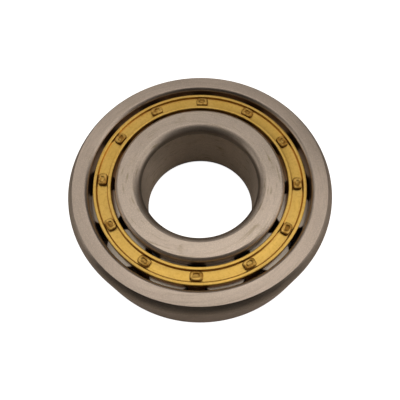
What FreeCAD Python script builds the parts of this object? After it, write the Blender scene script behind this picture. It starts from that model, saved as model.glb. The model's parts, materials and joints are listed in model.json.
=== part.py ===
"""Cylindrical roller bearing with a two-piece riveted brass cage, as a parametric FreeCAD document.

The bearing stands on its lower side face: the origin is on the shaft axis in that face and +Z runs
up the axis. The inner ring's single flange is at the top. Millimetres and degrees throughout.
"""
import FreeCAD, Part
import math
import os
import Sketcher

os.makedirs("parts", exist_ok=True)
doc = FreeCAD.newDocument("roller_bearing")

# ---------------------------------------------------------------- driving dimensions
SIZES = [
    ("bore_dia", 40, "shaft bore"),
    ("outside_dia", 90, "outside of the outer ring"),
    ("width", 23, "both rings, face to face"),
    ("inner_raceway_dia", 52, "raceway of the inner ring"),
    ("outer_raceway_dia", 80, "raceway of the outer ring"),
    ("raceway_width", 14.06, "between the guide flanges"),
    ("outer_flange_bore", 75.2, "bore of the outer ring's two flanges"),
    ("inner_flange_dia", 57.4, "outside of the inner ring's flange"),
    ("outside_corner_radial", 2.3, "outer ring corner, across the face"),
    ("outside_corner_axial", 3.0, "outer ring corner, along the outside"),
    ("outside_corner_bend", 11.0, "arc of the outer ring corner"),
    ("bore_corner_radial", 2.45, "inner ring corner, across the face"),
    ("bore_corner_axial", 2.95, "inner ring corner, along the bore"),
    ("bore_corner_bend", 3.5, "arc of the inner ring corner"),
    ("outer_flange_edge", 1.0, "blunted edge of the outer ring's flange bores, each way"),
    ("outer_flange_bend", 1.8, "arc of that edge"),
    ("inner_flange_edge", 1.2, "blunted edge of the inner ring's flange, each way"),
    ("inner_flange_bend", 2.0, "arc of that edge"),
    ("lead_in_radial", 0.5, "lead-in of the flangeless side, across"),
    ("lead_in_axial", 1.9, "lead-in of the flangeless side, along"),
    ("relief_size", 0.9, "reach of the grinding relief along each wall"),
    ("relief_radius", 0.68, "radius of the grinding relief"),
    ("flange_break", 0.25, "edge break where a flange meets the roller space"),
    ("roller_count", 12, "rollers, cage pockets and rivets"),
    ("roller_dia", 13.96, "roller, with running clearance to both raceways"),
    ("roller_length", 14, "roller, over its ends"),
    ("roller_round", 0.8, "corner round of a roller"),
    ("cage_bore", 60, "inside of the cage"),
    ("cage_outside", 72.3, "outside of the cage"),
    ("cage_width", 20.6, "cage body and cover together"),
    ("cover_thickness", 3.1, "cage cover over its rims"),
    ("pocket_clearance", 0.1, "radial gap between pocket and roller"),
    ("pocket_end_gap", 0.2, "gap between pocket floor and roller end"),
    ("cage_chamfer", 0.3, "outer edges of the cage"),
    ("channel_depth", 0.9, "channel turned in the cover"),
    ("channel_rim", 1.2, "width of each rim beside the channel"),
    ("channel_chamfer", 0.15, "inner edges of the rims"),
    ("tenon_side", 2.5, "rivet tenon, square section"),
    ("tenon_round", 0.4, "corner round of a rivet tenon"),
    ("tenon_gap", 0.05, "gap between tenon and cover hole"),
    ("head_radial", 3.05, "rivet head, radially"),
    ("head_tangential", 4.3, "rivet head, around the cage"),
    ("head_height", 1.1, "rivet head above the channel floor"),
    ("head_round", 0.8, "corner round of a rivet head"),
    ("head_chamfer", 0.22, "bevel round the top of a rivet head"),
    ("dimple_radial", 1.3, "peening mark in a rivet head, radially"),
    ("dimple_tangential", 2.2, "peening mark in a rivet head, around the cage"),
    ("dimple_round", 0.3, "corner round of the peening mark"),
    ("dimple_depth", 0.25, "depth of the peening mark"),
]

sheet = doc.addObject("Spreadsheet::Sheet", "Size")
for row, (alias, value, meaning) in enumerate(SIZES, start=1):
    sheet.set(f"A{row}", meaning)
    sheet.set(f"B{row}", str(value))
    sheet.setAlias(f"B{row}", alias)
doc.recompute()

# Limits of the checks on the built shapes: millimetres, and shares of a blank's volume.
SAME_HEIGHT = 0.001
LEFT_BY_POCKETS = 0.6
LEFT_BY_HOLES = 0.99

# Lengths worked out from the sheet, as expressions that several features share.
RACEWAY_TOP = "(Size.width + Size.raceway_width) / 2"
RACEWAY_BOTTOM = "(Size.width - Size.raceway_width) / 2"
PITCH_RADIUS = "(Size.inner_raceway_dia + Size.outer_raceway_dia) / 4"
ROLLER_BOTTOM = "(Size.width - Size.roller_length) / 2"
CAGE_BOTTOM = "(Size.width - Size.cage_width) / 2"
CAGE_TOP = "(Size.width + Size.cage_width) / 2"
BAR_TOP = f"{CAGE_TOP} - Size.cover_thickness"
CHANNEL_FLOOR = f"{CAGE_TOP} - Size.channel_depth"
HEAD_TOP = f"{CHANNEL_FLOOR} + Size.head_height"
POCKET_DEPTH = f"{BAR_TOP} - {ROLLER_BOTTOM} + Size.pocket_end_gap"
HALF_PITCH_ANGLE = "180 deg / Size.roller_count"


# ---------------------------------------------------------------- sketch and feature helpers
def value_of(expression):
    """Number that an expression over the sheet gives."""
    result = sheet.evalExpression(expression)
    return float(getattr(result, "Value", result))


def new_body(label):
    """Empty body whose label is the name of the piece."""
    body = doc.addObject("PartDesign::Body", label)
    body.Label = label
    return body


def origin_feature(body, role):
    """Origin plane or axis of a body, such as XZ_Plane or Z_Axis."""
    return next(item for item in body.Origin.OriginFeatures if item.Role == role)


def new_sketch(body, name, plane, height=None, turn=None):
    """Sketch on an origin plane, raised by height and turned about its normal."""
    sketch = body.newObject("Sketcher::SketchObject", name)
    sketch.AttachmentSupport = (origin_feature(body, plane), "")
    sketch.MapMode = "FlatFace"
    if height:
        sketch.setExpression("AttachmentOffset.Base.z", height)
    if turn:
        # The axis is kept from this placement; the expression then sets the angle.
        quarter = FreeCAD.Rotation(FreeCAD.Vector(0, 0, 1), 90)
        sketch.AttachmentOffset = FreeCAD.Placement(FreeCAD.Vector(), quarter)
        sketch.setExpression("AttachmentOffset.Rotation.Angle", turn)
    return sketch


def bind(sketch, constraint, expression):
    """Add a dimension to a sketch and tie it to an expression."""
    index = sketch.addConstraint(constraint)
    sketch.setExpression(f"Constraints[{index}]", expression)


def arc_between(start, end, radius):
    """Short arc from start to end: radius above 0 turns left (convex), below 0 turns right."""
    chord = end - start
    middle = (start + end) / 2
    left = FreeCAD.Vector(-chord.y, chord.x, 0).normalize()
    rise = math.sqrt(radius * radius - chord.Length ** 2 / 4)
    side = 1 if radius > 0 else -1
    centre = middle + left * (side * rise)
    through = centre - left * (side * abs(radius))
    return Part.Arc(start, through, end)


def ring_profile(body, name, outline):
    """Closed half section in the XZ plane, walked with the metal on the left.

    outline holds (radius, height, bend) per corner, all expressions; bend is the radius of the arc
    to the next corner, with a leading minus for a hollow arc, or None for a straight edge.
    """
    sketch = new_sketch(body, name, "XZ_Plane")
    corners = [FreeCAD.Vector(value_of(x), value_of(z), 0) for x, z, _ in outline]
    heads = []
    tails = []
    for index, (_, _, bend) in enumerate(outline):
        start = corners[index]
        end = corners[(index + 1) % len(corners)]
        if bend is None:
            line = sketch.addGeometry(Part.LineSegment(start, end))
            heads.append((line, 1))
            tails.append((line, 2))
            continue
        arc = sketch.addGeometry(arc_between(start, end, value_of(bend)))
        hollow = bend.startswith("-")
        heads.append((arc, 2 if hollow else 1))
        tails.append((arc, 1 if hollow else 2))
        bind(sketch, Sketcher.Constraint("Radius", arc, abs(value_of(bend))), bend.lstrip("-"))
    for index, (x, z, _) in enumerate(outline):
        previous = tails[index - 1]
        here = heads[index]
        sketch.addConstraint(Sketcher.Constraint("Coincident", *previous, *here))
        place_corner(sketch, here, x, "DistanceX", -2)
        place_corner(sketch, here, z, "DistanceY", -1)
    return sketch


def place_corner(sketch, point, expression, kind, axis):
    """Fix one coordinate of a sketch point; zero puts it on the sketch's own axis."""
    if expression == "0":
        sketch.addConstraint(Sketcher.Constraint("PointOnObject", *point, axis))
        return
    bind(sketch, Sketcher.Constraint(kind, -1, 1, *point, value_of(expression)), expression)


def rounded_rectangle(sketch, centre, length, breadth, corner):
    """Rectangle centred on the sketch's X axis at centre, with its four corners rounded."""
    middle = value_of(centre)
    half_x = value_of(length) / 2
    half_y = value_of(breadth) / 2
    bend = value_of(corner)
    diagonal = bend * math.sqrt(0.5)
    quarters = [(1, -1), (1, 1), (-1, 1), (-1, -1)]
    arcs = []
    for sign_x, sign_y in quarters:
        hub = FreeCAD.Vector(middle + sign_x * (half_x - bend), sign_y * (half_y - bend), 0)
        across = hub + FreeCAD.Vector(sign_x * bend, 0, 0)
        along = hub + FreeCAD.Vector(0, sign_y * bend, 0)
        mid = hub + FreeCAD.Vector(sign_x * diagonal, sign_y * diagonal, 0)
        first, last = (along, across) if sign_x * sign_y < 0 else (across, along)
        arcs.append(sketch.addGeometry(Part.Arc(first, mid, last)))
    lines = []
    for index, arc in enumerate(arcs):
        following = arcs[(index + 1) % 4]
        start = sketch.getPoint(arc, 2)
        end = sketch.getPoint(following, 1)
        line = sketch.addGeometry(Part.LineSegment(start, end))
        lines.append(line)
        sketch.addConstraint(Sketcher.Constraint("Tangent", arc, 2, line, 1))
        sketch.addConstraint(Sketcher.Constraint("Tangent", line, 2, following, 1))
        if index > 0:
            level = "Horizontal" if index % 2 else "Vertical"
            sketch.addConstraint(Sketcher.Constraint(level, line))
    for arc in arcs[1:]:
        sketch.addConstraint(Sketcher.Constraint("Equal", arcs[0], arc))
    bind(sketch, Sketcher.Constraint("Radius", arcs[0], bend), corner)
    sketch.addConstraint(Sketcher.Constraint("Symmetric", lines[0], 1, lines[0], 2, -1))
    right = Sketcher.Constraint("DistanceX", -1, 1, lines[0], 1, middle + half_x)
    bind(sketch, right, f"{centre} + ({length}) / 2")
    left = Sketcher.Constraint("DistanceX", -1, 1, lines[2], 1, middle - half_x)
    bind(sketch, left, f"{centre} - ({length}) / 2")
    top = Sketcher.Constraint("DistanceY", -1, 1, lines[1], 1, half_y)
    bind(sketch, top, f"({breadth}) / 2")


def revolve(body, sketch):
    """Turn a half section once round the body's own Z axis."""
    feature = body.newObject("PartDesign::Revolution", sketch.Name + "_turned")
    feature.Profile = sketch
    feature.ReferenceAxis = (sketch, ["V_Axis"])
    feature.Angle = 360
    doc.recompute()
    return feature


def extrude(body, kind, sketch, length):
    """Pad or pocket of a stated length from a sketch; a pocket goes down, a pad up."""
    feature = body.newObject("PartDesign::" + kind, sketch.Name + "_" + kind.lower())
    feature.Profile = sketch
    feature.setExpression("Length", length)
    doc.recompute()
    return feature


def repeat_round(body, features):
    """Repeat features once per roller about the body's Z axis."""
    pattern = body.newObject("PartDesign::PolarPattern", features[0].Name + "_ring")
    pattern.Originals = features
    pattern.Axis = (origin_feature(body, "Z_Axis"), [""])
    pattern.Angle = 360
    pattern.setExpression("Occurrences", "Size.roller_count")
    body.Tip = pattern
    doc.recompute()
    return pattern


# ---------------------------------------------------------------- rings
def relief(corner_radius, corner_height, before, after):
    """Two outline corners of a grinding relief between a flange and a raceway.

    before and after are the (radial, axial) signs of the steps from the corner to each end.
    """
    ends = []
    for (radial, axial), bend in ((before, "-Size.relief_radius"), (after, None)):
        ends.append((
            f"{corner_radius} + {radial} * Size.relief_size",
            f"{corner_height} + {axial} * Size.relief_size",
            bend,
        ))
    return ends


def make_outer_ring():
    """Outer ring with two integral flanges that guide the rollers."""
    outside = "Size.outside_dia / 2"
    face_edge = f"{outside} - Size.outside_corner_radial"
    raceway = "Size.outer_raceway_dia / 2"
    flange = "Size.outer_flange_bore / 2"
    flange_edge = f"{flange} + Size.outer_flange_edge"
    body = new_body("outer_ring")
    outline = [
        (flange_edge, "0", None),
        (face_edge, "0", "Size.outside_corner_bend"),
        (outside, "Size.outside_corner_axial", None),
        (outside, "Size.width - Size.outside_corner_axial", "Size.outside_corner_bend"),
        (face_edge, "Size.width", None),
        (flange_edge, "Size.width", "Size.outer_flange_bend"),
        (flange, "Size.width - Size.outer_flange_edge", None),
        (flange, f"{RACEWAY_TOP} + Size.flange_break", None),
        (f"{flange} + Size.flange_break", RACEWAY_TOP, None),
        *relief(raceway, RACEWAY_TOP, (-1, 0), (0, -1)),
        *relief(raceway, RACEWAY_BOTTOM, (0, 1), (-1, 0)),
        (f"{flange} + Size.flange_break", RACEWAY_BOTTOM, None),
        (flange, f"{RACEWAY_BOTTOM} - Size.flange_break", None),
        (flange, "Size.outer_flange_edge", "Size.outer_flange_bend"),
    ]
    revolve(body, ring_profile(body, "outer_ring_section", outline))
    return body


def make_inner_ring():
    """Inner ring with one integral flange at the top; the lower side is open for assembly."""
    bore = "Size.bore_dia / 2"
    face_edge = f"{bore} + Size.bore_corner_radial"
    raceway = "Size.inner_raceway_dia / 2"
    flange = "Size.inner_flange_dia / 2"
    body = new_body("inner_ring")
    outline = [
        (face_edge, "0", None),
        (f"{raceway} - Size.lead_in_radial", "0", None),
        (raceway, "Size.lead_in_axial", None),
        *relief(raceway, RACEWAY_TOP, (0, -1), (1, 0)),
        (f"{flange} - Size.flange_break", RACEWAY_TOP, None),
        (flange, f"{RACEWAY_TOP} + Size.flange_break", None),
        (flange, "Size.width - Size.inner_flange_edge", "Size.inner_flange_bend"),
        (f"{flange} - Size.inner_flange_edge", "Size.width", None),
        (face_edge, "Size.width", "Size.bore_corner_bend"),
        (bore, "Size.width - Size.bore_corner_axial", None),
        (bore, "Size.bore_corner_axial", "Size.bore_corner_bend"),
    ]
    revolve(body, ring_profile(body, "inner_ring_section", outline))
    return body


# ---------------------------------------------------------------- rollers
def make_roller(number):
    """One roller, standing in its place on the pitch circle."""
    radius = "Size.roller_dia / 2"
    end_edge = f"{radius} - Size.roller_round"
    body = new_body(f"roller_{number:02d}")
    outline = [
        ("0", "0", None),
        (end_edge, "0", "Size.roller_round"),
        (radius, "Size.roller_round", None),
        (radius, "Size.roller_length - Size.roller_round", "Size.roller_round"),
        (end_edge, "Size.roller_length", None),
        ("0", "Size.roller_length", None),
    ]
    revolve(body, ring_profile(body, f"roller_{number:02d}_section", outline))
    angle = f"{number - 1} * 360 deg / Size.roller_count"
    body.setExpression("Placement.Base.x", f"{PITCH_RADIUS} * cos({angle})")
    body.setExpression("Placement.Base.y", f"{PITCH_RADIUS} * sin({angle})")
    body.setExpression("Placement.Base.z", ROLLER_BOTTOM)
    return body


# ---------------------------------------------------------------- cage
def make_cage_body():
    """Comb of the cage: side ring, bars bored out between the pockets, and riveted tenons."""
    bore = "Size.cage_bore / 2"
    outside = "Size.cage_outside / 2"
    body = new_body("cage_body")
    outline = [
        (f"{bore} + Size.cage_chamfer", CAGE_BOTTOM, None),
        (f"{outside} - Size.cage_chamfer", CAGE_BOTTOM, None),
        (outside, f"{CAGE_BOTTOM} + Size.cage_chamfer", None),
        (outside, BAR_TOP, None),
        (bore, BAR_TOP, None),
        (bore, f"{CAGE_BOTTOM} + Size.cage_chamfer", None),
    ]
    blank = revolve(body, ring_profile(body, "cage_body_section", outline))
    solid_volume = blank.Shape.Volume

    pocket_sketch = new_sketch(body, "pocket_circle", "XY_Plane", height=BAR_TOP)
    centre = FreeCAD.Vector(value_of(PITCH_RADIUS), 0, 0)
    radius = "Size.roller_dia / 2 + Size.pocket_clearance"
    circle = Part.Circle(centre, FreeCAD.Vector(0, 0, 1), value_of(radius))
    pocket_sketch.addGeometry(circle)
    bind(pocket_sketch, Sketcher.Constraint("Radius", 0, value_of(radius)), radius)
    pocket_sketch.addConstraint(Sketcher.Constraint("PointOnObject", 0, 3, -1))
    place_corner(pocket_sketch, (0, 3), PITCH_RADIUS, "DistanceX", -2)
    pocket = extrude(body, "Pocket", pocket_sketch, POCKET_DEPTH)
    pockets = repeat_round(body, [pocket])
    if pockets.Shape.Volume > LEFT_BY_POCKETS * solid_volume:
        raise RuntimeError("the cage pockets cut nothing")

    tenon_sketch = new_sketch(body, "tenon_section", "XY_Plane", BAR_TOP, HALF_PITCH_ANGLE)
    side = "Size.tenon_side"
    rounded_rectangle(tenon_sketch, PITCH_RADIUS, side, side, "Size.tenon_round")
    tenon = extrude(body, "Pad", tenon_sketch, "Size.cover_thickness - Size.channel_depth")

    head_sketch = new_sketch(body, "head_section", "XY_Plane", CHANNEL_FLOOR, HALF_PITCH_ANGLE)
    rounded_rectangle(
        head_sketch, PITCH_RADIUS, "Size.head_radial", "Size.head_tangential", "Size.head_round")
    head = extrude(body, "Pad", head_sketch, "Size.head_height")
    heads = repeat_round(body, [tenon, head])

    bevel = body.newObject("PartDesign::Chamfer", "head_bevel")
    bevel.Base = (heads, edges_at_height(heads.Shape, value_of(HEAD_TOP)))
    bevel.setExpression("Size", "Size.head_chamfer")
    body.Tip = bevel
    doc.recompute()

    dimple_sketch = new_sketch(body, "dimple_section", "XY_Plane", HEAD_TOP, HALF_PITCH_ANGLE)
    rounded_rectangle(
        dimple_sketch, PITCH_RADIUS, "Size.dimple_radial", "Size.dimple_tangential",
        "Size.dimple_round")
    dimple = extrude(body, "Pocket", dimple_sketch, "Size.dimple_depth")
    repeat_round(body, [dimple])
    return body


def edges_at_height(shape, height):
    """Names of the edges that lie wholly at one height."""
    names = []
    for index, edge in enumerate(shape.Edges, start=1):
        box = edge.BoundBox
        if abs(box.ZMin - height) < SAME_HEIGHT and abs(box.ZMax - height) < SAME_HEIGHT:
            names.append(f"Edge{index}")
    return names


def make_cage_cover():
    """Cover ring with a shallow channel in which the rivet heads sit."""
    bore = "Size.cage_bore / 2"
    outside = "Size.cage_outside / 2"
    inner_rim = f"{bore} + Size.channel_rim"
    outer_rim = f"{outside} - Size.channel_rim"
    body = new_body("cage_cover")
    outline = [
        (bore, BAR_TOP, None),
        (outside, BAR_TOP, None),
        (outside, f"{CAGE_TOP} - Size.cage_chamfer", None),
        (f"{outside} - Size.cage_chamfer", CAGE_TOP, None),
        (f"{outer_rim} + Size.channel_chamfer", CAGE_TOP, None),
        (outer_rim, f"{CAGE_TOP} - Size.channel_chamfer", None),
        (outer_rim, CHANNEL_FLOOR, None),
        (inner_rim, CHANNEL_FLOOR, None),
        (inner_rim, f"{CAGE_TOP} - Size.channel_chamfer", None),
        (f"{inner_rim} - Size.channel_chamfer", CAGE_TOP, None),
        (f"{bore} + Size.cage_chamfer", CAGE_TOP, None),
        (bore, f"{CAGE_TOP} - Size.cage_chamfer", None),
    ]
    blank = revolve(body, ring_profile(body, "cage_cover_section", outline))
    hole_sketch = new_sketch(body, "rivet_hole", "XY_Plane", CHANNEL_FLOOR, HALF_PITCH_ANGLE)
    side = "Size.tenon_side + 2 * Size.tenon_gap"
    rounded_rectangle(hole_sketch, PITCH_RADIUS, side, side, "Size.tenon_round")
    hole = extrude(body, "Pocket", hole_sketch, "Size.cover_thickness")
    holes = repeat_round(body, [hole])
    if holes.Shape.Volume > LEFT_BY_HOLES * blank.Shape.Volume:
        raise RuntimeError("the rivet holes cut nothing")
    return body


# ---------------------------------------------------------------- build, check and export
roller_numbers = range(1, int(value_of("Size.roller_count")) + 1)
pieces = [make_outer_ring(), make_inner_ring(), make_cage_body(), make_cage_cover()]
pieces += [make_roller(number) for number in roller_numbers]
doc.recompute()

for item in doc.Objects:
    if "Invalid" in item.State or "Error" in item.State:
        raise RuntimeError(f"{item.Name} failed: {item.State}")
for piece in pieces:
    if piece.Shape.isNull() or not piece.Shape.isValid() or len(piece.Shape.Solids) != 1:
        raise RuntimeError(f"{piece.Label} is not one valid solid")
for piece in pieces:
    piece.Shape.exportStep(os.path.join("parts", piece.Label + ".step"))
    print(f"{piece.Label}: {piece.Shape.Volume:.1f} mm3")
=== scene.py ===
"""Looks of the cylindrical roller bearing: turned pieces, brass cage, ground steel, studio."""
import json
import math
import random

import bmesh
import bpy
from mathutils import Matrix, Vector


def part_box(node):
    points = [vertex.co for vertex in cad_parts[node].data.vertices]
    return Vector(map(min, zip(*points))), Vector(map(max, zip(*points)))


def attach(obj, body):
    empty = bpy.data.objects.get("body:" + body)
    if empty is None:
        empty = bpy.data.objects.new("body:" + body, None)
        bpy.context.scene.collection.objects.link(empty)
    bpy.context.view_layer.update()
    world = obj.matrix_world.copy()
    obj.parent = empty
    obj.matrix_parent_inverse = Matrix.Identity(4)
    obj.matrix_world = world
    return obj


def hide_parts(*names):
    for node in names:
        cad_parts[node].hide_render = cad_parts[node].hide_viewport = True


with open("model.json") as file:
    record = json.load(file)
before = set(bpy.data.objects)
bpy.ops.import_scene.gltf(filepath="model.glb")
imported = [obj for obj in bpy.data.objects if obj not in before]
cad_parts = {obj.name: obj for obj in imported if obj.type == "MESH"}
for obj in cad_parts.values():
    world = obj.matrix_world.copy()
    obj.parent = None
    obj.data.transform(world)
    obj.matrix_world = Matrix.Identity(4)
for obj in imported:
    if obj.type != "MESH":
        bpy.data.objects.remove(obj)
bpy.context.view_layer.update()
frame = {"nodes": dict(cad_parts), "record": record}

# ---------------------------------------------------------------- fineness; angles in degrees
RING_SEGMENTS = 256
ROLLER_SEGMENTS = 96
HEAD_POINTS = 56
SHARP_ANGLE = 24
HEAD_SHARP_ANGLE = 50
ROUND_SHARE = 0.45  # most of an outline's side that one corner's round may take
ON_AXIS = 1e-6

# ---------------------------------------------------------------- sizes, in millimetres
MM = 0.001


def reach(node):
    """Outer radius of a CAD node that is centred on the shaft axis."""
    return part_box(node)[1].x / MM


def mount(name):
    """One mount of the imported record."""
    return next(entry for entry in frame["record"]["mounts"] if entry["name"] == name)


roller_low, roller_high = [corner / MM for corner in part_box("roller_01")]
cover_low, cover_high = [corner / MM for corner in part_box("cage_cover")]
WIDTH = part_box("outer_ring")[1].z / MM
OUTSIDE = reach("outer_ring")
BORE = mount("shaft_bore")["dims"]["r_mm"]
INNER_FLANGE = reach("inner_ring")
CAGE_OUTSIDE = reach("cage_cover")
CAGE_TOP = cover_high.z
BAR_TOP = cover_low.z
CAGE_BOTTOM = WIDTH - CAGE_TOP
PITCH = (roller_low.x + roller_high.x) / 2
ROLLER = (roller_high.x - roller_low.x) / 2
ROLLER_BOTTOM = roller_low.z
ROLLER_TOP = roller_high.z
ROLLER_COUNT = sum(name.startswith("roller_") for name in frame["nodes"])

RACE_GAP = 0.02
INNER_RACEWAY = PITCH - ROLLER - RACE_GAP
OUTER_RACEWAY = PITCH + ROLLER + RACE_GAP
FLANGE_GAP = 0.03
RACEWAY_BOTTOM = ROLLER_BOTTOM - FLANGE_GAP
RACEWAY_TOP = ROLLER_TOP + FLANGE_GAP
OUTER_FLANGE = 37.6
OUTER_FLANGE_EDGE = 1.0
OUTER_FLANGE_BEND = 1.8
INNER_FLANGE_EDGE = 1.2
INNER_FLANGE_BEND = 2.0
FLANGE_ROUND = 0.25
OUTSIDE_CORNER = (2.3, 3.0)
OUTSIDE_CORNER_BEND = 11.0
BORE_CORNER = (2.45, 2.95)
BORE_CORNER_BEND = 3.5
LEAD_IN = (0.5, 1.9)
LEAD_IN_ROUNDS = (0.3, 0.6)
RELIEF = 0.9
RELIEF_DEPTH = RELIEF / 4
RELIEF_ROUND = 0.4
EDGE_BREAK = 0.12
ROLLER_ROUND = 0.8
CAGE_BORE = 30.0
CAGE_EDGE = 0.35
SEAM_EDGE = 0.08
COMB_EDGE = 0.05
POCKET = ROLLER + 0.1
POCKET_FLOOR = ROLLER_BOTTOM - 0.2
DRILL_OVERRUN = 1
CHANNEL_RIM = 1.2
CHANNEL_FLOOR = CAGE_TOP - 0.9
CHANNEL_RIM_EDGE = 0.25
CHANNEL_FILLET = 0.55
HEAD_SIZE = (3.05, 4.3)
HEAD_HEIGHT = 1.1
HEAD_SUNK = 0.1
HEAD_SQUARENESS = 3.6
DIMPLE_SIZE = (1.45, 2.3)
DIMPLE_DEPTH = 0.3
DIMPLE_SQUARENESS = 3.2
# Painted shade on the rivet heads' lower walls, strongest at their foot.
FOOT_SHADE_HEIGHTS = (0.4, 1.0)  # heights above the channel's floor between which the dark foot fades
WALL_DEPTH = 0.05  # faces this near to the bore or the outside are walls
WALL_LEAN = 0.02  # if their normals have less than this share upward


# ---------------------------------------------------------------- outlines
def bowed(start, end, radius, steps=10):
    """Blunt corner of an outline: a flat arc from start to end with a fine break at each end.

    The outline is walked with the metal on the left, so the arc bulges to the right.
    """
    start = Vector(start)
    end = Vector(end)
    chord = end - start
    right = Vector((chord.y, -chord.x)).normalized()
    rise = math.sqrt(radius ** 2 - chord.length_squared / 4)
    centre = (start + end) / 2 - right * rise
    half = math.asin(chord.length / 2 / radius)
    points = []
    for step in range(steps + 1):
        angle = half * (2 * step / steps - 1)
        spoke = right * math.cos(angle) + chord.normalized() * math.sin(angle)
        place = centre + spoke * radius
        points.append((place.x, place.y, EDGE_BREAK if step in (0, steps) else 0))
    return points


def rounded(corners, steps=5, closed=True):
    """Outline through (radius, height, round) corners, each corner rounded off by its own arc."""
    outline = []
    count = len(corners)
    for index, (corner_r, corner_z, bend) in enumerate(corners):
        corner = Vector((corner_r, corner_z))
        at_end = not closed and index in (0, count - 1)
        if bend == 0 or at_end:
            outline.append(corner)
            continue
        back = Vector(corners[index - 1][:2]) - corner
        ahead = Vector(corners[(index + 1) % count][:2]) - corner
        half = back.angle(ahead) / 2
        bend = min(bend, ROUND_SHARE * min(back.length, ahead.length) * math.tan(half))
        back.normalize()
        ahead.normalize()
        reach_along = bend / math.tan(half)
        start = corner + back * reach_along
        end = corner + ahead * reach_along
        centre = corner + (back + ahead).normalized() * (bend / math.sin(half))
        for step in range(steps + 1):
            share = step / steps
            toward = (start - centre).lerp(end - centre, share).normalized()
            outline.append(centre + toward * bend)
    return outline


def outer_ring_outline():
    """Half section of the outer ring, with both flanges."""
    face_in = OUTER_FLANGE
    face_start = OUTER_FLANGE + OUTER_FLANGE_EDGE
    across, along = OUTSIDE_CORNER
    face_end = OUTSIDE - across
    corners = bowed((face_in, OUTER_FLANGE_EDGE), (face_start, 0), OUTER_FLANGE_BEND)
    corners += bowed((face_end, 0), (OUTSIDE, along), OUTSIDE_CORNER_BEND)
    corners += bowed((OUTSIDE, WIDTH - along), (face_end, WIDTH), OUTSIDE_CORNER_BEND)
    corners += bowed(
        (face_start, WIDTH), (face_in, WIDTH - OUTER_FLANGE_EDGE), OUTER_FLANGE_BEND)
    corners += [
        (face_in, RACEWAY_TOP, FLANGE_ROUND),
        (OUTER_RACEWAY - RELIEF, RACEWAY_TOP, EDGE_BREAK),
        (OUTER_RACEWAY + RELIEF_DEPTH, RACEWAY_TOP + RELIEF_DEPTH, RELIEF_ROUND),
        (OUTER_RACEWAY, RACEWAY_TOP - RELIEF, EDGE_BREAK),
        (OUTER_RACEWAY, RACEWAY_BOTTOM + RELIEF, EDGE_BREAK),
        (OUTER_RACEWAY + RELIEF_DEPTH, RACEWAY_BOTTOM - RELIEF_DEPTH, RELIEF_ROUND),
        (OUTER_RACEWAY - RELIEF, RACEWAY_BOTTOM, EDGE_BREAK),
        (face_in, RACEWAY_BOTTOM, FLANGE_ROUND),
    ]
    return rounded(corners)


def inner_ring_outline():
    """Half section of the inner ring, with its one flange at the top."""
    across, along = BORE_CORNER
    face_start = BORE + across
    corners = bowed((BORE, along), (face_start, 0), BORE_CORNER_BEND)
    corners += [
        (INNER_RACEWAY - LEAD_IN[0], 0, LEAD_IN_ROUNDS[0]),
        (INNER_RACEWAY, LEAD_IN[1], LEAD_IN_ROUNDS[1]),
        (INNER_RACEWAY, RACEWAY_TOP - RELIEF, EDGE_BREAK),
        (INNER_RACEWAY - RELIEF_DEPTH, RACEWAY_TOP + RELIEF_DEPTH, RELIEF_ROUND),
        (INNER_RACEWAY + RELIEF, RACEWAY_TOP, EDGE_BREAK),
        (INNER_FLANGE, RACEWAY_TOP, FLANGE_ROUND),
    ]
    corners += bowed(
        (INNER_FLANGE, WIDTH - INNER_FLANGE_EDGE), (INNER_FLANGE - INNER_FLANGE_EDGE, WIDTH),
        INNER_FLANGE_BEND)
    corners += bowed((face_start, WIDTH), (BORE, WIDTH - along), BORE_CORNER_BEND)
    return rounded(corners, steps=8)


def roller_outline():
    """Half section of a roller, from the middle of one end to the middle of the other."""
    corners = [
        (0, ROLLER_BOTTOM, 0),
        (ROLLER, ROLLER_BOTTOM, ROLLER_ROUND),
        (ROLLER, ROLLER_TOP, ROLLER_ROUND),
        (0, ROLLER_TOP, 0),
    ]
    return rounded(corners, steps=8, closed=False)


def cover_outline():
    """Half section of the cage cover with its channel between two rims."""
    inner_rim = CAGE_BORE + CHANNEL_RIM
    outer_rim = CAGE_OUTSIDE - CHANNEL_RIM
    corners = [
        (CAGE_BORE, BAR_TOP, SEAM_EDGE),
        (CAGE_OUTSIDE, BAR_TOP, SEAM_EDGE),
        (CAGE_OUTSIDE, CAGE_TOP, CAGE_EDGE),
        (outer_rim, CAGE_TOP, CHANNEL_RIM_EDGE),
        (outer_rim, CHANNEL_FLOOR, CHANNEL_FILLET),
        (inner_rim, CHANNEL_FLOOR, CHANNEL_FILLET),
        (inner_rim, CAGE_TOP, CHANNEL_RIM_EDGE),
        (CAGE_BORE, CAGE_TOP, CAGE_EDGE),
    ]
    return rounded(corners)


def comb_outline():
    """Half section of the cage body before its pockets are bored."""
    corners = [
        (CAGE_BORE, CAGE_BOTTOM, CAGE_EDGE),
        (CAGE_OUTSIDE, CAGE_BOTTOM, CAGE_EDGE),
        (CAGE_OUTSIDE, BAR_TOP, COMB_EDGE),
        (CAGE_BORE, BAR_TOP, COMB_EDGE),
    ]
    return rounded(corners)


# ---------------------------------------------------------------- meshes
def finish_mesh(name, mesh_edit, sharp_angle=SHARP_ANGLE):
    """Turn a bmesh in millimetres into a shaded object in metres."""
    bmesh.ops.recalc_face_normals(mesh_edit, faces=mesh_edit.faces)
    bmesh.ops.scale(mesh_edit, vec=(MM, MM, MM), verts=mesh_edit.verts)
    mesh = bpy.data.meshes.new(name)
    mesh_edit.to_mesh(mesh)
    mesh_edit.free()
    mesh.shade_smooth()
    mesh.set_sharp_from_angle(angle=math.radians(sharp_angle))
    piece = bpy.data.objects.new(name, mesh)
    bpy.context.scene.collection.objects.link(piece)
    return piece


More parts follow.
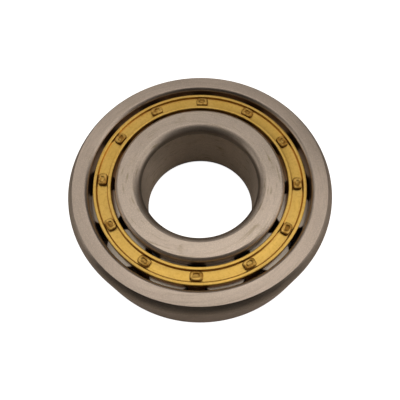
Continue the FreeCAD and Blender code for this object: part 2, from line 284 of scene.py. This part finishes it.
def lathe(outline, closed=True, centre=(0, 0), segments=RING_SEGMENTS):
    """Surface of revolution of an outline about the upright line through centre."""
    mesh_edit = bmesh.new()
    rows = []
    for point in outline:
        if point.x < ON_AXIS:
            rows.append([mesh_edit.verts.new((centre[0], centre[1], point.y))])
            continue
        row = []
        for segment in range(segments):
            angle = math.tau * segment / segments
            across = Vector((math.cos(angle), math.sin(angle))) * point.x
            row.append(mesh_edit.verts.new((centre[0] + across.x, centre[1] + across.y, point.y)))
        rows.append(row)
    pairs = list(zip(rows, rows[1:]))
    if closed:
        pairs.append((rows[-1], rows[0]))
    for lower, upper in pairs:
        join_rows(mesh_edit, lower, upper)
    return mesh_edit


def join_rows(mesh_edit, lower, upper):
    """Faces between two rows of points round the axis; a row of one point is a pole."""
    count = max(len(lower), len(upper))
    for index in range(count):
        following = (index + 1) % count
        corners = [lower[index % len(lower)]]
        if len(lower) > 1:
            corners.append(lower[following])
        if len(upper) > 1:
            corners.append(upper[following])
        corners.append(upper[index % len(upper)])
        mesh_edit.faces.new(corners)


def bored_comb(name):
    """Cage body: one turned ring with a pocket bored for every roller."""
    ring = finish_mesh(name, lathe(comb_outline()))
    drills = bmesh.new()
    depth = BAR_TOP - POCKET_FLOOR + DRILL_OVERRUN
    for number in range(ROLLER_COUNT):
        place = Matrix.Rotation(math.tau * number / ROLLER_COUNT, 4, "Z")
        place @= Matrix.Translation((PITCH, 0, POCKET_FLOOR + depth / 2))
        bmesh.ops.create_cone(
            drills, cap_ends=True, segments=ROLLER_SEGMENTS, radius1=POCKET, radius2=POCKET,
            depth=depth, matrix=place)
    cutter = finish_mesh("pocket_drills", drills)
    boolean = ring.modifiers.new("pockets", "BOOLEAN")
    boolean.operation = "DIFFERENCE"
    boolean.solver = "EXACT"
    boolean.object = cutter
    graph = bpy.context.evaluated_depsgraph_get()
    mesh = bpy.data.meshes.new_from_object(ring.evaluated_get(graph))
    ring.modifiers.clear()
    ring.data = mesh
    mesh.shade_smooth()
    mesh.set_sharp_from_angle(angle=math.radians(SHARP_ANGLE))
    bpy.data.objects.remove(cutter)
    return ring


def rounded_square_row(mesh_edit, place, size, height, squareness):
    """One row of points on a rounded rectangle at a height, moved by place.

    A squareness of 2 gives an ellipse, and a higher one tighter corners.
    """
    row = []
    for index in range(HEAD_POINTS):
        angle = math.tau * index / HEAD_POINTS
        cosine = math.cos(angle)
        sine = math.sin(angle)
        stretch = (abs(cosine) ** squareness + abs(sine) ** squareness) ** (-1 / squareness)
        local = Vector((size[0] / 2 * cosine * stretch, size[1] / 2 * sine * stretch, height))
        row.append(mesh_edit.verts.new(place @ local))
    return row


def add_rivet_head(mesh_edit, number):
    """One peened rivet head with its punch mark; no two are struck quite alike."""
    chance = random.Random(number)
    turn = math.tau * (number + 0.5) / ROLLER_COUNT
    place = Matrix.Rotation(turn, 4, "Z") @ Matrix.Translation((PITCH, 0, CHANNEL_FLOOR))
    place @= Matrix.Rotation(math.radians(chance.uniform(-3, 3)), 4, "Z")
    wide = [side * chance.uniform(0.97, 1.02) for side in HEAD_SIZE]
    tall = HEAD_HEIGHT * chance.uniform(0.93, 1.0)
    rows = [[mesh_edit.verts.new(place @ Vector((0, 0, -HEAD_SUNK)))]]
    bulge = [  # share of the head's size, height
        (0.98, -HEAD_SUNK), (0.98, 0.1), (1.01, 0.35), (1.01, tall - 0.5), (0.98, tall - 0.3),
        (0.93, tall - 0.15), (0.86, tall - 0.06), (0.79, tall - 0.01), (0.72, tall),
    ]
    for share, height in bulge:
        size = [side * share for side in wide]
        rows.append(rounded_square_row(mesh_edit, place, size, height, HEAD_SQUARENESS))
    shift = Vector((chance.uniform(-0.15, 0.15), chance.uniform(-0.2, 0.2), 0))
    mark = place @ Matrix.Translation(shift) @ Matrix.Rotation(chance.uniform(-0.12, 0.12), 4, "Z")
    punch = [  # share of the mark's size, share of its depth
        (1.1, 0), (1.0, 0.08), (0.92, 0.4), (0.78, 0.95), (0.6, 1), (0.4, 0.8),
    ]
    for share, sunk in punch:
        size = [side * share for side in DIMPLE_SIZE]
        height = tall - DIMPLE_DEPTH * sunk
        rows.append(rounded_square_row(mesh_edit, mark, size, height, DIMPLE_SQUARENESS))
    middle = tall - DIMPLE_DEPTH * 0.7
    rows.append([mesh_edit.verts.new(mark @ Vector((0, 0, middle)))])
    for lower, upper in zip(rows, rows[1:]):
        join_rows(mesh_edit, lower, upper)


# ---------------------------------------------------------------- materials
OIL_STAIN = (0.3, 0.23, 0.08, 1)
# Painted shade: the next three colours darken the bore corner's foot, the inner flange beside the
# cage and the outer flange's edge.
BORE_FOOT_SHADE = (0.12, 0.11, 0.1, 1)
CAGE_SIDE_SHADE = (0.16, 0.17, 0.18, 1)
FLANGE_EDGE_SHADE = (0.2, 0.2, 0.18, 1)
ROLLER_TONES = ((0.37, 0.335, 0.29, 1), (0.46, 0.415, 0.36, 1))
ROLLER_LINES = (0.32, 0.28, 0.23, 1)
BRASS_TONES = ((0.86, 0.55, 0.13, 1), (0.96, 0.64, 0.18, 1))
BRASS_MOTTLE = (0.7, 0.42, 0.08, 1)
BRASS_LINES = (0.66, 0.4, 0.09, 1)
# Painted shade, reddish brown, beside the rims of the cage's channel.
CHANNEL_RIM_SHADE = (0.62, 0.27, 0.05, 1)
PEENED_TONES = ((0.48, 0.25, 0.05, 1), (0.9, 0.58, 0.16, 1))
# Painted shade at the rivet heads' foot.
PEENED_FOOT_SHADE = (0.13, 0.05, 0.01, 1)


class Shader:
    """One node material, and the nodes that it is built from."""

    def __init__(self, name):
        self.material = bpy.data.materials.new(name)
        self.material.use_nodes = True
        self.tree = self.material.node_tree
        self.principled = self.tree.nodes["Principled BSDF"]

    def node(self, kind, values=None, **settings):
        """Add a node, set its properties, and set or link its inputs."""
        made = self.tree.nodes.new("ShaderNode" + kind)
        for key, value in settings.items():
            setattr(made, key, value)
        for key, value in (values or {}).items():
            self.feed(made.inputs[key], value)
        return made

    def feed(self, socket, value):
        """Link a socket to another, or give it a plain value."""
        if isinstance(value, bpy.types.NodeSocket):
            self.tree.links.new(value, socket)
        else:
            socket.default_value = value

    def math(self, operation, first, second=0.0):
        """Result of a Math node."""
        return self.node("Math", {0: first, 1: second}, operation=operation).outputs[0]

    def between(self, value, low, high, to_low=0.0, to_high=1.0):
        """Value carried from one range to another, smoothly and clamped."""
        values = {
            "Value": value, "From Min": low, "From Max": high, "To Min": to_low, "To Max": to_high,
        }
        made = self.node("MapRange", values, interpolation_type="SMOOTHSTEP")
        return made.outputs["Result"]

    def mix(self, share, first, second):
        """Mix of two colours: all of the first at a share of 0, all of the second at 1."""
        made = self.node("Mix", data_type="RGBA")
        self.feed(made.inputs[0], share)
        self.feed(made.inputs[6], first)
        self.feed(made.inputs[7], second)
        return made.outputs[2]

    def noise(self, vector, scale, detail=3.0, fourth=0.0, roughness=0.5):
        """Noise value at a place."""
        values = {
            "Vector": vector, "W": fourth, "Scale": scale, "Detail": detail,
            "Roughness": roughness,
        }
        return self.node("TexNoise", values, noise_dimensions="4D").outputs["Fac"]

    def bump(self, height, strength, distance):
        """Normal bent by a height."""
        values = {"Height": height, "Strength": strength, "Distance": distance}
        return self.node("Bump", values).outputs["Normal"]

    def surface(self, **inputs):
        """Set or link the principled shader's inputs by name."""
        for key, value in inputs.items():
            self.feed(self.principled.inputs[key.replace("_", " ")], value)


class Turned(Shader):
    """Material of a turned piece: knows radius, height and the way round, in millimetres."""

    def __init__(self, name, centre=(0.0, 0.0)):
        super().__init__(name)
        place = self.node("TexCoord").outputs["Object"]
        moved = self.node(
            "VectorMath", {0: place, 1: (centre[0] * MM, centre[1] * MM, 0)}, operation="SUBTRACT")
        scaled = self.node(
            "VectorMath", {0: moved.outputs[0], "Scale": 1 / MM}, operation="SCALE")
        self.place = scaled.outputs[0]
        axes = self.node("SeparateXYZ", {0: self.place})
        self.height = axes.outputs[2]
        flat = self.node("VectorMath", {0: self.place, 1: (1, 1, 0)}, operation="MULTIPLY")
        self.radius = self.node("VectorMath", {0: flat.outputs[0]}, operation="LENGTH").outputs[1]
        self.way = self.node("VectorMath", {0: flat.outputs[0]}, operation="NORMALIZE").outputs[0]
        normal = self.node("SeparateXYZ", {0: self.node("TexCoord").outputs["Normal"]})
        upward = self.math("ABSOLUTE", normal.outputs[2])
        self.level = self.between(upward, 0.9, 0.97)
        self.leaning = self.between(upward, 0.02, 0.12)

    def lines(self, spacing, spread, detail=2.0):
        """Fine lines that run round the piece: noise quick across them and slow along them.

        spacing is in millimetres, and a higher spread breaks the lines up sooner.
        """
        way = self.node("VectorMath", {0: self.way, "Scale": spread}, operation="SCALE").outputs[0]
        across = self.math("DIVIDE", self.radius, spacing)
        along = self.node("CombineXYZ", {0: across, 1: 0.0, 2: 0.0}).outputs[0]
        vector = self.node("VectorMath", {0: way, 1: along}, operation="ADD").outputs[0]
        return self.noise(vector, 1.0, detail, self.math("DIVIDE", self.height, spacing))


def ring_metal(steel, tone, fine, cloud, grain):
    """Steel of one tone, clouded, mottled, lined and grained."""
    dark = tuple(part * 0.85 for part in tone) + (1,)
    light = tuple(min(part * 1.14, 1) for part in tone) + (1,)
    mottle = steel.noise(steel.place, 0.9, 3.0, 1.3, 0.6)
    streak = steel.lines(0.42, 8.0)
    colour = steel.mix(steel.between(cloud, 0.3, 0.7), dark, light)
    colour = steel.mix(steel.between(mottle, 0.4, 0.7, 0.0, 0.45), colour, dark)
    colour = steel.mix(steel.between(fine, 0.3, 0.7, 0.0, 0.4), colour, dark)
    colour = steel.mix(steel.between(streak, 0.48, 0.68, 0.0, 0.8), colour, dark)
    return steel.mix(steel.between(grain, 0.45, 0.68, 0.0, 0.65), colour, light)


def oil_stains(steel, strength):
    """Share of stain at a place: spots, and smears along the lines."""
    spots = steel.noise(steel.place, 0.22, 4.0, 3.7, 0.65)
    smear = steel.lines(0.8, 4.0, 3.0)
    stain = steel.between(spots, 0.55, 0.75, 0.0, 0.5)
    stain = steel.math("ADD", stain, steel.between(smear, 0.57, 0.7, 0.0, 0.8))
    return steel.math("MULTIPLY", stain, strength)


def ring_shades(steel, colour, inner_side, sloping, slope):
    """Painted shade: colour darkened at the bore corner's foot, beside the cage and on the outer
    flange's edge.
    """
    # painted shade in the crease where the bore corner meets the bore
    foot = steel.between(steel.radius, BORE + 0.9, BORE + 0.2)
    foot = steel.math("MULTIPLY", foot, slope)
    colour = steel.mix(steel.math("MULTIPLY", foot, 0.55), colour, BORE_FOOT_SHADE)
    # painted shade on the inner flange's wall in the gap beside the cage
    beside_cage = steel.between(steel.radius, INNER_FLANGE - 0.15, INNER_FLANGE - 0.05)
    beside_cage = steel.math("MULTIPLY", beside_cage, inner_side)
    colour = steel.mix(steel.math("MULTIPLY", beside_cage, 0.45), colour, CAGE_SIDE_SHADE)
    # painted shade on the outer flange's rounded inner edge
    flange_edge = steel.between(steel.radius, OUTER_FLANGE + 0.9, OUTER_FLANGE + 0.4)
    flange_edge = steel.math("MULTIPLY", flange_edge, steel.math("SUBTRACT", 1.0, inner_side))
    flange_edge = steel.math("MULTIPLY", flange_edge, sloping)
    return steel.mix(steel.math("MULTIPLY", flange_edge, 0.15), colour, FLANGE_EDGE_SHADE)


def ring_steel(name, tone, stain_strength, drawn=0.0):
    """Ground bearing steel: fine lines round the piece, cloudy sheen, faint oil stains.

    drawn is how far the lines draw a highlight out across them, from 0 to 1.
    """
    steel = Turned(name)
    fine = steel.lines(0.16, 9.0)
    coarse = steel.lines(0.7, 3.0)
    cloud = steel.noise(steel.place, 0.06, 3.0)
    grain = steel.noise(steel.place, 2.6, 2.0)
    stain = oil_stains(steel, stain_strength)
    inner_side = steel.between(steel.radius, PITCH, PITCH - 0.1)
    sloping = steel.math("SUBTRACT", 1.0, steel.level)
    slope = steel.math("MULTIPLY", sloping, steel.leaning)
    colour = ring_metal(steel, tone, fine, cloud, grain)
    colour = steel.mix(stain, colour, OIL_STAIN)
    colour = ring_shades(steel, colour, inner_side, sloping, slope)
    inner_slope = steel.math("MULTIPLY", slope, inner_side)
    rough = steel.between(steel.math("ADD", coarse, cloud), 0.7, 1.3, 0.32, 0.42)
    rough = steel.math("ADD", rough, steel.math("MULTIPLY", stain, 0.2))
    rough = steel.math("ADD", rough, steel.math("MULTIPLY", inner_slope, 0.1))
    if drawn:
        rough = steel.math("ADD", rough, 0.1)
    relief = steel.math("ADD", fine, steel.math("MULTIPLY", grain, 0.5))
    steel.surface(
        Base_Color=colour, Metallic=1.0, Roughness=rough, Normal=steel.bump(relief, 0.25, 4e-6))
    if drawn:
        tangent = steel.node("Tangent", direction_type="RADIAL", axis="Z").outputs[0]
        steel.surface(Anisotropic=drawn, Anisotropic_Rotation=0.25, Tangent=tangent)
    return steel.material


def roller_steel(name, centre):
    """Superfinished roller: smooth sides, and ends with the rings of their grinding."""
    steel = Turned(name, centre)
    fine = steel.lines(0.12, 5.0)
    cloud = steel.noise(steel.place, 0.15, 2.0)
    colour = steel.mix(steel.between(cloud, 0.3, 0.7), *ROLLER_TONES)
    colour = steel.mix(steel.between(fine, 0.35, 0.7, 0.0, 0.2), colour, ROLLER_LINES)
    rough = steel.between(fine, 0.3, 0.7, 0.28, 0.38)
    steel.surface(
        Base_Color=colour, Metallic=1.0, Roughness=rough, Normal=steel.bump(fine, 0.2, 2e-6))
    return steel.material


def cage_brass(name):
    """Turned brass: tool lines round the ring, mottling, and reddish-brown painted shade low beside
    the channel's rims.
    """
    brass = Turned(name)
    fine = brass.lines(0.13, 7.0)
    coarse = brass.lines(0.6, 2.0)
    cloud = brass.noise(brass.place, 0.12, 3.0)
    mottle = brass.noise(brass.place, 1.1, 3.0, 0.7, 0.6)
    colour = brass.mix(brass.between(cloud, 0.3, 0.7), *BRASS_TONES)
    colour = brass.mix(brass.between(mottle, 0.42, 0.7, 0.0, 0.5), colour, BRASS_MOTTLE)
    colour = brass.mix(brass.between(fine, 0.3, 0.75, 0.0, 0.25), colour, BRASS_LINES)
    # Reddish-brown painted shade on the channel's floor beside both rims, fading up the rims' walls.
    off_middle = brass.math("SUBTRACT", brass.radius, (CAGE_BORE + CAGE_OUTSIDE) / 2)
    off_middle = brass.math("ABSOLUTE", off_middle)
    half_floor = (CAGE_OUTSIDE - CAGE_BORE) / 2 - CHANNEL_RIM
    beside_rim = brass.between(off_middle, half_floor - 0.5, half_floor, 0.0, 0.85)
    low = brass.between(brass.height, CHANNEL_FLOOR, CAGE_TOP - 0.1, 1.0, 0.0)
    rim_shade = brass.math("MULTIPLY", beside_rim, low)
    colour = brass.mix(rim_shade, colour, CHANNEL_RIM_SHADE)
    rough = brass.between(brass.math("ADD", coarse, cloud), 0.7, 1.3, 0.3, 0.44)
    relief = brass.math("ADD", fine, brass.math("MULTIPLY", coarse, 0.6))
    brass.surface(
        Base_Color=colour, Metallic=1.0, Roughness=rough, Normal=brass.bump(relief, 0.3, 5e-6))
    return brass.material


def peened_brass(name):
    """Struck brass of the rivet heads: duller and browner, with small dents, and painted shade on
    their lower walls.
    """
    brass = Shader(name)
    place = brass.node("TexCoord").outputs["Object"]
    dents = brass.noise(place, 1400.0, 3.0)
    blotch = brass.noise(place, 500.0, 3.0, 2.0)
    colour = brass.mix(brass.between(blotch, 0.38, 0.6), *PEENED_TONES)
    up = brass.node("SeparateXYZ", {0: place}).outputs[2]
    # painted shade: the heads' walls darken toward the channel's floor
    foot_low, foot_high = [(CHANNEL_FLOOR + height) * MM for height in FOOT_SHADE_HEIGHTS]
    foot = brass.between(up, foot_low, foot_high, 0.92, 0.0)
    colour = brass.mix(foot, colour, PEENED_FOOT_SHADE)
    rough = brass.between(dents, 0.3, 0.7, 0.36, 0.55)
    brass.surface(
        Base_Color=colour, Metallic=1.0, Roughness=rough, Normal=brass.bump(dents, 0.6, 4e-5))
    return brass.material


# ---------------------------------------------------------------- pieces
def place_piece(piece, body, node, slot, *materials):
    """Put a finished piece on its CAD body in place of its CAD node."""
    for material in materials:
        piece.data.materials.append(material)
    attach(piece, body)
    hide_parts(node)


def build_rings():
    """Outer and inner ring; the bore and outside walls draw the highlight out, the faces don't."""
    for node, outline, tone, wall_tone, stains in (
        ("outer_ring", outer_ring_outline(), (0.635, 0.53, 0.45), (0.8, 0.66, 0.58), 0.2),
        ("inner_ring", inner_ring_outline(), (0.7, 0.59, 0.5), (0.66, 0.56, 0.47), 0.55),
    ):
        ring = finish_mesh(f"{node}_turned", lathe(outline))
        faces = ring_steel(f"{node}_steel", tone, stains)
        walls = ring_steel(f"{node}_ground_steel", wall_tone, stains, drawn=0.7)
        place_piece(ring, node, node, f"{node}_steel", faces, walls)
        for face in ring.data.polygons:
            radius = face.center.xy.length / MM
            at_wall = radius < BORE + WALL_DEPTH or radius > OUTSIDE - WALL_DEPTH
            face.material_index = int(at_wall and abs(face.normal.z) < WALL_LEAN)


def build_rollers():
    """Every roller, each with its own centre for the grinding rings."""
    for number in range(1, ROLLER_COUNT + 1):
        node = f"roller_{number:02d}"
        angle = math.tau * (number - 1) / ROLLER_COUNT
        centre = (PITCH * math.cos(angle), PITCH * math.sin(angle))
        turned = lathe(
            roller_outline(), closed=False, centre=centre, segments=ROLLER_SEGMENTS)
        piece = finish_mesh(f"{node}_ground", turned)
        place_piece(piece, node, node, "roller_steel", roller_steel(f"{node}_steel", centre))


def build_cage():
    """Bored comb, cover ring and the row of peened heads."""
    brass = cage_brass("cage_brass")
    comb = bored_comb("cage_body_comb")
    place_piece(comb, "cage", "cage_body", "cage_body_brass", brass)
    heads = bmesh.new()
    for number in range(ROLLER_COUNT):
        add_rivet_head(heads, number)
    rivets = finish_mesh("cage_body_rivet_heads", heads, sharp_angle=HEAD_SHARP_ANGLE)
    place_piece(rivets, "cage", "cage_body", "cage_body_brass", peened_brass("peened_brass"))
    cover = finish_mesh("cage_cover_turned", lathe(cover_outline()))
    place_piece(cover, "cage", "cage_cover", "cage_cover_brass", brass)


# ---------------------------------------------------------------- studio
# The camera's place is in metres, and the sizes of the floor and the card in millimetres.
FRONT = math.radians(-12.4)
CAMERA_PLACE = Vector((0.0004, -0.0593, 0.1280))
CAMERA_TILT = math.radians(18.8)
CAMERA_ROLL = math.radians(0.63)
CAMERA_PAN = math.radians(-0.9)
CAMERA_LENS = 31.84
CAMERA_SHIFT = 0.114
LAMP_COLOUR = (1, 0.95, 0.88)
ROOM_LIGHT = 0.025
SOFTBOX_SIDE = 0.6
SOFTBOXES = (  # name, bearing and height in degrees, power in watts
    ("top_softbox", 0, 86, 0.85),
    ("back_high_softbox", 0, 62, 0.35),
    ("back_right_softbox", 60, 62, 0.75),
    ("back_left_softbox", -60, 62, 0.5),
    ("back_softbox", 0, 38, 0.4),
    ("right_softbox", 90, 38, 1.0),
    ("left_softbox", -45, 38, 0.55),
    ("low_left_softbox", -88, 14, 0.95),
    ("low_right_softbox", 95, 14, 0.9),
)
FLOOR_EDGE = [(0, 0), (900, 0), (1200, 60), (1350, 300), (1400, 2500)]
FLOOR_DROP = 0.1
# Painted shadow under the bearing: radii where the floor's dark footprint fades in and out, and its
# faint glow there.
FOOTPRINT_SHADOW = (BORE + 1, BORE + 2, OUTSIDE - 4, OUTSIDE - 3)
FOOTPRINT_GLOW = 0.012
CARD_EDGE = [(0, 0), (130, 0)]
CARD_DROP = 0.7
SHEET_SEGMENTS = 64


def turned_to_front(place):
    """A place in the studio, turned round the bearing until the viewer faces the bearing's front."""
    return Matrix.Rotation(FRONT, 3, "Z") @ Vector(place)


def add_camera():
    """Camera close above the bearing, looking steeply down on it."""
    data = bpy.data.cameras.new("camera")
    data.sensor_width = 36
    data.lens = CAMERA_LENS
    data.shift_y = CAMERA_SHIFT
    data.clip_start = 0.005
    camera = bpy.data.objects.new("camera", data)
    camera.location = turned_to_front(CAMERA_PLACE)
    camera.rotation_euler = (CAMERA_TILT, CAMERA_ROLL, CAMERA_PAN + FRONT)
    bpy.context.scene.collection.objects.link(camera)
    bpy.context.scene.camera = camera


def add_softbox(name, bearing, height, power):
    """Large square softbox that faces the bearing from a metre away.

    bearing is its angle round from behind the piece toward the right, height its angle above
    the floor, both in degrees.
    """
    data = bpy.data.lights.new(name, "AREA")
    data.shape = "SQUARE"
    data.size = SOFTBOX_SIDE
    data.energy = power
    data.color = LAMP_COLOUR
    light = bpy.data.objects.new(name, data)
    turn = math.radians(bearing)
    rise = math.radians(height)
    flat = math.cos(rise)
    place = (flat * math.sin(turn), flat * math.cos(turn), math.sin(rise))
    light.location = turned_to_front(place)
    light.rotation_euler = light.location.to_track_quat("Z", "Y").to_euler()
    bpy.context.scene.collection.objects.link(light)


def floor_material():
    """Pale glowing floor, with a painted shadow: dark only where the bearing stands on it."""
    floor = Shader("pale_floor")
    place = floor.node("TexCoord").outputs["Object"]
    grain = floor.noise(place, 40.0)
    reach_out = floor.node("VectorMath", {0: place}, operation="LENGTH").outputs["Value"]
    # painted shadow: the floor turns dark and nearly stops glowing under the bearing's ring
    dark_from, dark_at, dark_to, pale_at = [radius * MM for radius in FOOTPRINT_SHADOW]
    within = floor.between(reach_out, dark_from, dark_at)
    beyond = floor.between(reach_out, dark_to, pale_at, 1.0, 0.0)
    shadowed = floor.math("MULTIPLY", within, beyond)
    dimmed = floor.math("MULTIPLY", shadowed, 1 - FOOTPRINT_GLOW)
    pale = floor.mix(grain, (0.93, 0.93, 0.93, 1), (0.95, 0.95, 0.95, 1))
    colour = floor.mix(shadowed, pale, (0.02, 0.02, 0.02, 1))
    floor.surface(
        Base_Color=colour, Roughness=0.9, Emission_Color=(1, 1, 1, 1),
        Emission_Strength=floor.math("SUBTRACT", 1.0, dimmed))
    return floor.material


def card_material():
    """Dull card under the bearing."""
    card = Shader("dull_card")
    grain = card.noise(card.node("TexCoord").outputs["Object"], 40.0)
    card.surface(
        Base_Color=card.mix(grain, (0.58, 0.54, 0.49, 1), (0.6, 0.56, 0.51, 1)), Roughness=0.9)
    return card.material


def add_sheet(name, edge, drop, material):
    """Turned sheet of the studio, lowered by drop."""
    outline = [Vector(point) for point in edge]
    sheet = finish_mesh(name, lathe(outline, closed=False, segments=SHEET_SEGMENTS))
    sheet.location.z = -drop * MM
    sheet.data.materials.append(material)
    return sheet


def add_floor():
    """Pale floor that the camera sees, and just below it the small card that the steel mirrors."""
    floor = add_sheet("floor", FLOOR_EDGE, FLOOR_DROP, floor_material())
    floor.visible_shadow = False
    floor.visible_glossy = False
    floor.visible_diffuse = False
    card = add_sheet("card", CARD_EDGE, CARD_DROP, card_material())
    card.visible_camera = False


def add_world():
    """Dim warm room."""
    world = bpy.data.worlds.new("room")
    world.use_nodes = True
    background = world.node_tree.nodes["Background"]
    background.inputs[0].default_value = (*LAMP_COLOUR, 1)
    background.inputs[1].default_value = ROOM_LIGHT
    bpy.context.scene.world = world


def build_studio():
    """Floor, room, lights and camera."""
    bpy.context.scene.view_settings.view_transform = "Standard"
    add_floor()
    add_world()
    for softbox in SOFTBOXES:
        add_softbox(*softbox)
    add_camera()


build_rings()
build_rollers()
build_cage()
build_studio()
bpy.context.view_layer.update()
